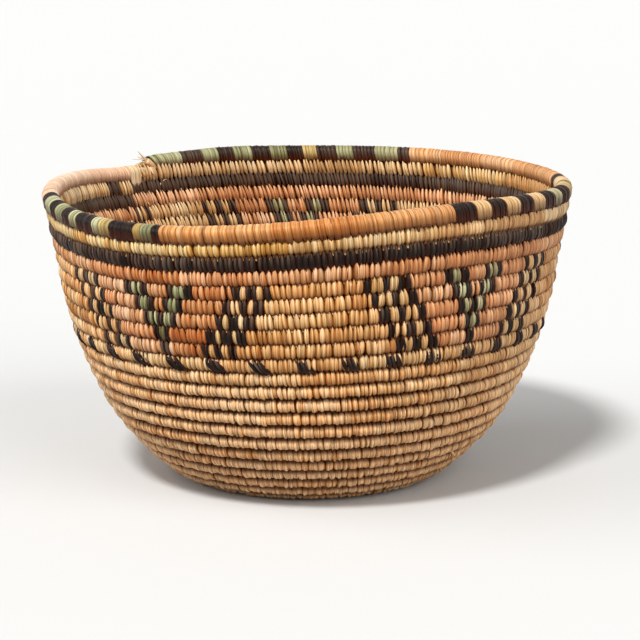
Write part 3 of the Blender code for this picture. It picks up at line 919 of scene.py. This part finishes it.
def pattern_kind(row, degrees):
    """The colour of a stitch in the pattern's rows, by its angle from its motif's axis."""
    step = row - PATTERN_FIRST_ROW
    pitch = 360.0 / MOTIFS
    motif = round((degrees - MOTIF_AXIS) / pitch)
    side = 1 if degrees > MOTIF_AXIS + pitch * motif else -1
    off = abs(degrees - MOTIF_AXIS - pitch * motif)
    column = (motif % MOTIFS, side)
    from_column = off - (COLUMN_AT_TOP - COLUMN_DRAWS_IN * step)
    spacing = TICK_SPACING
    if column == CLOSE_COLUMN:
        from_column -= CLOSE_COLUMN_SHIFT
        spacing = CLOSE_TICK_SPACING
    tick = min((-1, 0, 1), key=lambda k: abs(from_column - spacing * k))
    half_width = TICK_HALF_WIDTH * TICK_WIDTHS[step, 2 * column[0] + (side > 0), tick]
    if abs(from_column - spacing * tick) < half_width:
        return "dark"
    if abs(from_column) < spacing:
        return "cream"
    if from_column > 0:
        return "straw"
    green, dark = ARMS[step]
    if green[0] <= off < green[1]:
        return "green"
    return "dark" if dark[0] <= off < dark[1] else "salmon"


def stitch_kind(place, angle):
    """The colour of a stitch, by its turn and its angle round the basket."""
    row = math.floor(place + COURSE_LEAD)
    if PATTERN_FIRST_ROW <= row < TICK_ROW:
        return pattern_kind(row, angle)
    if row <= 1:
        return "gold" if GOLDEN_ANGLES[0] <= angle <= GOLDEN_ANGLES[1] else "cream"
    return {2: "dark", 3: "salmon", TICK_ROW: "cream"}.get(row, "straw")


def stitch_lines(profile, spacing, width, top_lean, tip_lean, lift, rng):
    """The lines of stitches over one face of the wall, from one profile or a profile for each."""
    count = len(spacing)
    up, outward, wide, crown = np.moveaxis(profile, -1, 0)
    share = (up[..., :1] - up) / (up[..., :1] - up[..., -1:])
    line = np.empty((count, up.shape[-1], 5))
    slip = rng.normal(0.0, SLIP_SPREAD, count)
    line[:, :, 0] = (up + slip[:, None]) * spacing[:, None]
    line[:, :, 1] = outward + (lift + rng.normal(0.0, LIFT_SPREAD, count))[:, None]
    line[:, :, 2] = top_lean[:, None] * (1 - share) + tip_lean[:, None] * share
    line[:, :, 3] = wide * width[:, None] / 2
    line[:, :, 4] = crown * CROWN * rng.uniform(*CROWN_SPREAD, count)[:, None]
    return line


def rest_on_ground(rings):
    """Presses what would be below the ground up into a flat, softly."""
    span = GROUND_PRESS - GROUND_GAP
    low = rings[..., 2] < GROUND_PRESS
    rings[low, 2] = GROUND_GAP + span * np.exp((rings[low, 2] - GROUND_PRESS) / span)


def add_stitches(layout, materials, rng):
    """Every stitch of the wall and the floor, outside and inside, in pieces by run and colour."""
    places, kinds, tips = lay_stitches(layout, rng)
    count = len(places)
    centre, across, out, side, spacing = layout.rings(places)
    beside = np.linalg.norm(np.gradient(centre, axis=0), axis=1)
    width = np.clip(beside, *WIDTH_LIMITS) * STITCH_OVERLAP
    tone, warmth = splint_tones(count, rng)
    degrees = layout.degrees(places)
    to_right = np.sin(np.radians(degrees))
    down = share_between(places, *FOOT_ROWS)
    lower = share_between(places, *LOWER_ROWS)
    fade = side_fading(degrees)
    # painted shade: the stitches darken and warm towards the foot of the wall
    tone += FOOT_ROWS_SHADE_TONE * down
    tone -= np.where(kinds == "green", GREEN_PALER * to_right, 0.0)
    # painted light: paler on the left
    tone -= LEFT_PAINTED_LIGHT * np.clip(-to_right, 0.0, 1.0)
    tone += LOWER_TONE * lower
    warmth = warmth + FOOT_ROWS_SHADE_WARMTH * down
    warmth = warmth * (1 - (1 - LOWER_WARMTH_SHARE) * lower) + LOWER_WARMTH * lower

    top = -OUTER_LEAN + rng.normal(0.0, LEAN_SPREAD, count)
    tip = np.clip(tips, -TIP_REACH, TIP_REACH) + rng.normal(0.0, LEAN_SPREAD / 3, count)
    tip = tip * (1 - LOWER_STRAIGHT * lower)
    blunt = lower[:, None, None]
    profiles = UPPER_LINE * (1 - blunt) + LOWER_LINE * blunt
    profiles[..., 0] *= 1 - FOOT_NARROWER * down[:, None]
    first_row = places + COURSE_LEAD < 2
    profiles[first_row, -2:, 0] -= FIRST_ROW_LONGER
    profiles[first_row, -2:, 2] *= FIRST_ROW_WIDER
    lift = -DRAWN_IN * np.interp(places, TOP_ROWS, (1.0, 0.0))
    outer = sweep(stitch_lines(profiles, spacing, width, top, tip, lift, rng),
                  (centre, across, out, side), rng, tone, warmth, fade,
                  start=np.where(lower > 0, 0.0, CLEAN_START), reach=np.where(lower > 0, LOWER_REACH, 1.0))
    # in the rows at the foot, the painted shade of each stitch's head reaches further down it
    outer.place[..., 1] -= FOOT_ROWS_SHADE_SHIFT * down[:, None, None]

    # seen from inside the basket, out and side point the other way
    top = -INNER_LEAN + rng.normal(0.0, LEAN_SPREAD, count)
    tip = INNER_LEAN + rng.normal(0.0, LEAN_SPREAD, count)
    ticked = (np.floor(places + COURSE_LEAD) == TICK_ROW)
    from_tick = from_nearest(degrees - SLANTED_TICK_START, 360.0 / SLANTED_TICKS)
    ticked &= np.abs(from_tick) < SLANTED_TICK_HALF_WIDTH
    inner_kinds = np.where((kinds == "gold") | (kinds == "straw"), "cream", kinds)
    inner_kinds[ticked] = "dark"
    golden = (degrees > INNER_GOLDEN_ANGLES[0]) & (degrees < INNER_GOLDEN_ANGLES[1])
    inner_kinds[first_row & golden] = "gold"
    inner_kinds[(places > INNER_PATCH[0]) & (places < INNER_PATCH[1])] = "dark"
    faded = tone + INNER_TONE - np.where(inner_kinds == "dark", INNER_FADING, 0.0)
    inner = sweep(stitch_lines(INNER_LINE, spacing, INNER_WIDTH * width, top, tip, 0.0, rng),
                  (centre, across, -out, -side), rng, faded, warmth, np.maximum(fade, INNER_FADE),
                  start=CLEAN_START, reach=INNER_REACH)

    for face, splints, colours in (("outer", outer, kinds), ("inner", inner, inner_kinds)):
        rest_on_ground(splints.rings)
        for node, first, last in coil_runs(layout.total + 1):
            in_run = (places >= first) & (places < last)
            for kind in COLOURS:
                chosen = np.flatnonzero(in_run & (colours == kind))
                parts = math.ceil(len(chosen) / MOST_STITCHES)
                for part in range(parts):
                    name = f"{node}_{face}_{kind}" + (f"_{part + 1}" if parts > 1 else "")
                    add_piece(name, splints, materials[kind], SLOTS[kind], node,
                              chosen=np.array_split(chosen, parts)[part])


def add_slanted_ticks(layout, mat, rng):
    """The dark ticks under the pattern: slanting strands over the stitches of their row."""
    angle = SLANTED_TICK_START + 360.0 / SLANTED_TICKS * np.arange(SLANTED_TICKS)
    turn = TICK_ROW - COURSE_LEAD + (SPLICE_ANGLE / 360.0 + COURSE_LEAD - angle / 360.0) % 1.0
    turn = np.repeat(turn, len(TICK_STRANDS))
    along = np.tile(TICK_STRANDS, SLANTED_TICKS)
    *frames, spacing = layout.rings(turn)
    lean = np.repeat(TICK_STRAND_LEAN * rng.uniform(*TICK_LEAN_SPREAD, SLANTED_TICKS), len(TICK_STRANDS))
    degrees = layout.degrees(turn)
    lean = lean * (1 - TICK_UPRIGHT_SHARE * np.interp(degrees, TICK_UPRIGHT_ANGLES, (0.0, 1.0)))
    faded = np.interp(-degrees, [-angle for angle in TICK_FADED_ANGLES], (0.0, 1.0))
    count = len(turn)
    width = TICK_STRAND_WIDTH * rng.uniform(*TICK_STRAND_SPREAD, count) * (1 - TICK_FADED_THINNER * faded)
    top = along - lean / 2 + rng.normal(0.0, LEAN_SPREAD / 2, count)
    tip = along + lean / 2 + rng.normal(0.0, LEAN_SPREAD / 2, count)
    lines = stitch_lines(UPPER_LINE, TICK_HEIGHT * spacing, width, top, tip, TICK_STRAND_LIFT, rng)
    tone, warmth = splint_tones(count, rng)
    strands = sweep(lines, frames, rng, tone - TICK_FADED_TONE * faded, warmth)
    add_piece("tick_course_slanted_ticks", strands, mat, SLOTS["dark"], "tick_course")


def add_bundle(name, layout, turns, tall, thick, raised, mat, nodes, rng):
    """A run of the bundle that the wrapping covers. Sizes are half heights and half thicknesses."""
    centre, across, out, _, _ = layout.rings(turns)
    turned = circle(BUNDLE_SIDES)
    rings = (centre[:, None] + raised[:, None, None] * across[:, None]
             + (thick[:, None] * np.cos(turned))[..., None] * out[:, None]
             + (tall[:, None] * np.sin(turned))[..., None] * across[:, None])
    rings[..., 2] = np.maximum(rings[..., 2], GROUND_PRESS)
    bundle = Splints(rings[None], np.zeros(BUNDLE_SIDES), rng, USUAL_TONE, 0.0)
    add_piece(name, bundle, mat, "bundle_fibre", *nodes)


def add_bundles(layout, mat, rng):
    """The coil's bundle, from the knot to the rim's free end, where it thins out."""
    for node, first, last in coil_runs(layout.total):
        turns = np.linspace(last, first, math.ceil((last - first) * BUNDLE_STEPS))
        spacing = layout.rings(turns)[4]
        add_bundle(f"{node}_bundle", layout, turns, BUNDLE_TALL * spacing, BUNDLE_THICK * spacing,
                   0.0 * spacing, mat, (node,), rng)
    turns = np.linspace(RIM_TURNS, 0.0, BUNDLE_STEPS * 2)
    middle, thick = rim_section(layout, turns)
    half = thick / 2 - RIM_COVER
    add_bundle("rim_bundle", layout, turns, half + RIM_BUNDLE_EXTRA, half, middle - RIM_BUNDLE_EXTRA, mat,
               [node for node, _ in RIM_CUTS], rng)


def rim_section(layout, turns):
    """How far the rim's middle lies above the coil's, and its thickness, down to the thin end."""
    size = layout.rings(turns)[4] - SLIT + RIM_EXTRA
    from_end = turns * 2 * math.pi * MOUTH_RADIUS
    thick = TAIL_SHOULDER + (size - TAIL_SHOULDER) * smooth_step(from_end / TAIL_THINNING)
    at_end = np.clip(1 - from_end / TAIL_LENGTH, 0.0, 1.0)
    thick = thick + (TAIL_THICKNESS - thick) * at_end * at_end
    return RIM_EXTRA / 2 - (size - thick) / 2, thick


def rim_bands():
    """The rim's bands in order, the coloured ones and the dark ones between them."""
    at = RIM_START_ANGLE
    for band in RIM_BANDS:
        if band[1] > at:
            yield "dark", at, band[1], 0.0
        yield band
        at = band[2]


def rim_wraps(rng):
    """The rim's close wraps, from its start to its free end: turn, width, colour, tone and CAD node."""
    wraps = []
    for kind, start, end, tone in rim_bands():
        length = math.radians(end - start) * MOUTH_RADIUS
        widths = []
        while sum(widths) < length - sum(THIN_WRAP) / 4:  # which is half a usual thin wrap
            wide = rng.uniform() < WIDE_SHARE.get(kind, FEW_WIDE)
            widths.append(float(rng.uniform(*(WIDE_WRAP if wide else THIN_WRAP))))
        node = next(name for name, cut in RIM_CUTS if end <= cut)
        stretch = length / sum(widths)
        at = start
        for width in widths:
            step = math.degrees(width * stretch / MOUTH_RADIUS)
            wraps.append(((SPLICE_ANGLE - at - step / 2) / 360.0, width * stretch, kind, tone, node))
            at += step
    return wraps


def wrap_lines(middle, thick, widths, slant, crown, inside, rng):
    """The lines of wraps that go from inside the basket over the rim and down outside."""
    count = len(widths)
    turned = np.radians(np.linspace(*RIM_ARC, RIM_ARC_STEPS))
    radius = (thick / 2 - crown)[:, None]
    first, last = len(inside), len(inside) + RIM_ARC_STEPS
    steps = last + len(RIM_OUTSIDE)
    line = np.empty((count, steps, 5))
    line[:, first:last, 0] = middle[:, None] + radius * np.sin(turned)
    line[:, first:last, 1] = radius * np.cos(turned) * np.where(np.cos(turned) > 0, *RIM_FULLNESS)
    line[:, :, 3] = widths[:, None] / 2 * RIM_OVERLAP
    underside = middle - thick / 2
    slimmer = 0.5 + thick / (2 * np.max(thick))
    for face, ends, at in ((-1, inside, 0), (1, RIM_OUTSIDE, last)):
        for index, (up, out, width) in enumerate(ends):
            line[:, at + index, 0] = underside + up
            line[:, at + index, 1] = face * out * slimmer
            line[:, at + index, 3] *= width
    line[:, (0, -1), 0] += rng.normal(0.0, RIM_END_SPREAD, (count, 2))
    line[:, -2, 0] += rng.normal(0.0, RIM_END_SPREAD / 2, count)
    line[:, (0, -1), 1] += rng.normal(0.0, RIM_END_SPREAD / 3, (count, 2))
    share = np.linspace(-1.0, 1.0, steps)
    line[:, :, 2] = slant[:, None] * share * np.abs(share) + rng.normal(0.0, WRAP_SLIP, (count, 1))
    line[:, :, 4] = (crown * np.clip(widths / USUAL_WRAP, *WRAP_CROWN_LIMITS))[:, None]
    return line


def add_rim(layout, materials, rng):
    """The rim's close wraps, round and over the last turn of the coil."""
    places, widths, kinds, tones, nodes = zip(*rim_wraps(rng))
    places, widths = np.array(places), np.array(widths)
    middle, thick = rim_section(layout, places)
    from_end = places * 2 * math.pi * MOUTH_RADIUS
    slant = RIM_LEAN + TAIL_LEAN * np.clip(1 - from_end / TAIL_LEAN_LENGTH, 0.0, 1.0)
    crown = np.array([BAND_CROWNS.get(kind, RIM_CROWN) for kind in kinds])
    tone, warmth = splint_tones(len(places), rng)
    tone = SPLINT_TONE + RIM_TONE_SHARE * (tone - SPLINT_TONE) + np.array(tones)
    line = wrap_lines(middle, thick, widths, slant, crown, RIM_INSIDE, rng)
    fade = side_fading(layout.degrees(places))
    splints = sweep(line, layout.rings(places)[:4], rng, tone, RIM_WARMTH_SHARE * warmth, fade, RIM_TILT)
    pieces = {}
    for index, key in enumerate(zip(nodes, kinds)):
        pieces.setdefault(key, []).append(index)
    for (node, kind), chosen in pieces.items():
        add_piece(f"{node}_wraps_{kind}", splints, materials[kind], SLOTS[kind], node, chosen=chosen)


def ribbons(starts, directions, bends, widths, flat_to, tone, rng):
    """Loose flat strands: each starts at a point, sets off in a direction and bends away.

    flat_to gives the direction that each strand's flat faces.
    """
    count = len(starts)
    share = np.linspace(0.0, 1.0, RIBBON_STEPS)[None, :, None]
    path = starts[:, None] + directions[:, None] * share + bends[:, None] * share ** 2
    along = unit(np.gradient(path, axis=1))
    flat = unit(np.cross(along, flat_to[:, None]))
    normal = np.cross(along, flat)
    turned = circle(RIBBON_SIDES)
    narrow = widths[:, None, None] * (1 - RIBBON_TAPER * share ** 2) / 2
    rings = (path[:, :, None] + (narrow * np.cos(turned))[..., None] * flat[:, :, None]
             + (RIBBON_FLATNESS * narrow * np.sin(turned))[..., None] * normal[:, :, None])
    return Splints(rings, np.cos(turned), rng, rng.normal(tone, RIBBON_TONE_SPREAD, count),
                   rng.uniform(0.0, RIBBON_WARMTH, count))


def add_wide_wraps(layout, mat, rng):
    """Wide wraps over the rim's start, beside the rim's free end."""
    angles, tones = np.array(WIDE_WRAPS).T
    turns = (SPLICE_ANGLE - angles) / 360.0
    middle, thick = rim_section(layout, turns)
    count = len(WIDE_WRAPS)
    line = wrap_lines(middle, thick + WIDE_WRAP_THICKER, np.full(count, WIDE_WRAP_WIDTH),
                      np.full(count, RIM_LEAN / 2), np.full(count, RIM_CROWN), WIDE_WRAP_INSIDE, rng)
    wrap = sweep(line, layout.rings(turns)[:4], rng, tones, WIDE_WRAP_WARMTH)
    add_piece("rim_start_wide_wrap", wrap, mat, "straw_wrap")


def add_frayed_fibres(layout, mat, rng):
    """Fibres out of the rim's free end: most lie over the wide wraps, a few stand up."""
    middle, thick = rim_section(layout, np.array([0.0]))
    centre, across, out, side = layout.ring(0.0)
    root = centre + across * middle[0] - side * FIBRE_ROOT
    standing = len(STANDING_FIBRES)
    count = LYING_FIBRES + standing
    angle = rng.uniform(0.0, 2 * math.pi, count)
    from_middle = thick[0] / 2 * FIBRE_FILL * np.sqrt(rng.uniform(size=count))
    starts = (root + (from_middle * np.sin(angle))[:, None] * across
              + (from_middle * np.cos(angle))[:, None] * out)
    reach = rng.uniform(*FIBRE_REACH, count) * MM
    rise = -rng.uniform(*FIBRE_DROP, count) * MM
    outwards = rng.normal(0.0, FIBRE_OUT, count) * MM
    widths = rng.uniform(*FIBRE_WIDTH, count) * MM
    for values, standing_values in zip((reach, rise, outwards, widths), STANDING_FIBRES.T):
        values[:standing] = standing_values
    starts[:standing] = root + across * thick[0] * FIBRE_STANDING
    sideways = rise[:, None] * across + outwards[:, None] * out
    directions = reach[:, None] * side + (1 - FIBRE_BEND) * sideways
    fibres = ribbons(starts, directions, FIBRE_BEND * sideways, widths, unit(rng.normal(size=(count, 3))),
                     FIBRE_TONE, rng)
    add_piece("rim_end_frayed_fibres", fibres, mat, "bundle_fibre", "rim_end_fibres")


def add_straw_ends(layout, mat, rng):
    """Short ends of straws under the rim's free end."""
    lying = rng.uniform(*STRAW_ANGLES, STRAW_ENDS)
    centre, across, out, side, spacing = layout.rings((SPLICE_ANGLE - lying + 360.0) / 360.0)

    def reach(limits, vectors):
        return rng.uniform(*limits, STRAW_ENDS)[:, None] * MM * vectors

    starts = centre + (STRAW_HEIGHT * spacing)[:, None] * across - reach(STRAW_INSET, out)
    directions = -reach(STRAW_DROP, across) - reach(STRAW_ALONG, side) - STRAW_SET_IN * out
    bends = STRAW_BACK_OUT * out - reach(STRAW_BEND, out)
    widths = rng.uniform(*STRAW_WIDTH, STRAW_ENDS) * MM
    ends = ribbons(starts, directions, bends, widths, out, STRAW_TONE, rng)
    add_piece("rim_start_loose_ends", ends, mat, "straw_wrap")


def add_flat_strand(layout, mat, rng):
    """The flat end of the rim's last wrap, which lies inside the basket."""
    centre, *directions = layout.ring(0.0)
    start, reach, bend = (np.array(lengths) @ directions
                          for lengths in (FLAT_STRAND_START, FLAT_STRAND_REACH, FLAT_STRAND_BEND))
    strand = ribbons((centre + start)[None], reach[None], bend[None], np.array([FLAT_STRAND_WIDTH]),
                     directions[1][None], FLAT_STRAND_TONE, rng)
    add_piece("rim_end_flat_strand", strand, mat, "orange_wrap")


def add_loose_ends(layout, materials, rng):
    """Ends of splints that stand a little off the wall."""
    for name, angle, turn_below, face, reach, kind, slot in LOOSE_ENDS:
        centre, across, out, side = layout.ring(turn_below + (SPLICE_ANGLE - angle) % 360.0 / 360.0)
        start = centre + face * LOOSE_END_START * out
        direction = reach[0] * side + reach[1] * across + face * reach[2] * out
        bend = LOOSE_END_BEND[0] * reach[1] * across + LOOSE_END_BEND[1] * reach[0] * side
        strand = ribbons(start[None], direction[None], bend[None], np.array([LOOSE_END_WIDTH]), out[None],
                         LOOSE_END_TONE, rng)
        add_piece(name, strand, materials[kind], slot)


def add_knot(materials, bundle, rng):
    """The start of the coil: a small tight ring of wraps in the middle of the floor."""
    turned = circle(KNOT_FILLING_SIDES)
    rings = np.array([[(radius * math.cos(angle), radius * math.sin(angle), height) for angle in turned]
                      for radius, height in KNOT_FILLING]) + AXIS_PLACE
    filling = Splints(rings[None], np.zeros(KNOT_FILLING_SIDES), rng, USUAL_TONE, 0.0)
    add_piece("start_knot_filling", filling, bundle, "bundle_fibre", "start_knot")

    turned = circle(KNOT_WRAPS)
    zero = np.zeros(KNOT_WRAPS)
    across = np.stack((np.sin(turned), -np.cos(turned), zero), axis=-1)
    side = np.stack((np.cos(turned), np.sin(turned), zero), axis=-1)
    out = np.cross(side, across)
    centre = AXIS_PLACE + np.array((0.0, 0.0, FLOOR_LEVEL + KNOT_RAISED)) + across * KNOT_RING
    section = np.radians(np.linspace(KNOT_ARC, -KNOT_ARC, KNOT_STEPS))
    line = np.zeros((KNOT_WRAPS, KNOT_STEPS, 5))
    line[:, :, 0] = KNOT_THICKNESS / 2 * np.cos(section)
    line[:, :, 1] = -KNOT_THICKNESS / 2 * KNOT_FLATNESS * np.sin(section)
    outwards = (line[:, :, 0] + KNOT_RING) / KNOT_RING
    line[:, :, 2] = KNOT_SLANT * np.sin(section)
    line[:, :, 3] = math.pi * KNOT_RING / KNOT_WRAPS * outwards * STITCH_OVERLAP
    line[:, :, 4] = KNOT_CROWN
    tone, warmth = splint_tones(KNOT_WRAPS, rng)
    wraps = sweep(line, (centre, across, out, side), rng, tone, warmth)
    rest_on_ground(wraps.rings)
    add_piece("start_knot_wraps", wraps, materials["straw"], "straw_wrap", "start_knot")


def seen_rays(tree):
    """1 where the stage is seen, directly or in glossy or clear things, and 0 where it lights the basket."""
    rays = tree.nodes.new("ShaderNodeLightPath")
    seen = node_value(tree, "MAXIMUM", rays.outputs["Is Camera Ray"], rays.outputs["Is Glossy Ray"])
    return node_value(tree, "MAXIMUM", seen, rays.outputs["Is Transmission Ray"])


def add_stage():
    """A plain pale floor, and light as from a soft studio."""
    mesh = bpy.data.meshes.new("studio_floor")
    corners = [(FLOOR_HALF * x, FLOOR_HALF * y, 0.0) for x, y in ((-1, -1), (1, -1), (1, 1), (-1, 1))]
    mesh.from_pydata(corners, [], [(0, 1, 2, 3)])
    mat, tree, shader = new_material("studio_floor")
    colour = node_mix(tree, "MIX", seen_rays(tree), FLOOR_LIGHTING, FLOOR_SEEN)
    set_inputs(tree, shader, {"Base Color": colour, "Roughness": DULL})
    mesh.materials.append(mat)
    floor = add_object("studio_floor", mesh)

    world = bpy.data.worlds.new("studio")
    bpy.context.scene.world = world
    world.use_nodes = True
    tree = world.node_tree
    strength = node_ramp(tree, seen_rays(tree), 0.0, 1.0, WORLD_STRENGTH, BACKDROP_STRENGTH)
    set_inputs(tree, tree.nodes["Background"], {"Color": SKY_COLOUR, "Strength": strength})
    for name, azimuth, elevation, strength, softness in LAMPS:
        lamp = bpy.data.lights.new(name, "SUN")
        lamp.energy = strength
        lamp.angle = math.radians(softness)
        holder = add_object(name, lamp)
        holder.rotation_euler = (math.radians(90.0 - elevation), 0.0, math.radians(azimuth))


def add_camera():
    data = bpy.data.cameras.new("photo_view")
    data.sensor_width = SENSOR_WIDTH
    data.lens = CAMERA_LENS
    camera = add_object("photo_view", data)
    camera.location = AXIS_PLACE + np.array(CAMERA_PLACE)
    camera.rotation_euler = (math.radians(90.0 - CAMERA_PITCH), 0.0, math.radians(-CAMERA_YAW))
    bpy.context.scene.camera = camera


def build():
    rng = np.random.default_rng(SEED)
    layout = CoilLayout()
    stitches, wraps, loose = (
        {kind: splint_material(f"{kind}_{use}", kind, head, foot, edge) for kind in kinds}
        for use, kinds, head, foot, edge in (
            ("stitch", COLOURS, STITCH_HEAD, STITCH_FOOT, STITCH_EDGE),
            ("wrap", COLOURS, WRAP_HEAD, WRAP_FOOT, WRAP_EDGE),
            ("loose", ("fibre", "cream", "salmon", "orange"), LOOSE_HEAD, LOOSE_FOOT, LOOSE_EDGE)))
    bundle = bundle_material()
    add_stitches(layout, stitches, rng)
    add_slanted_ticks(layout, stitches["dark"], rng)
    add_knot(stitches, bundle, rng)
    add_bundles(layout, bundle, rng)
    add_rim(layout, wraps, rng)
    add_wide_wraps(layout, loose["fibre"], rng)
    add_frayed_fibres(layout, loose["fibre"], rng)
    add_straw_ends(layout, loose["cream"], rng)
    add_flat_strand(layout, loose["orange"], rng)
    add_loose_ends(layout, loose, rng)
    add_stage()
    add_camera()
    bpy.context.scene.view_settings.view_transform = "Standard"


build()
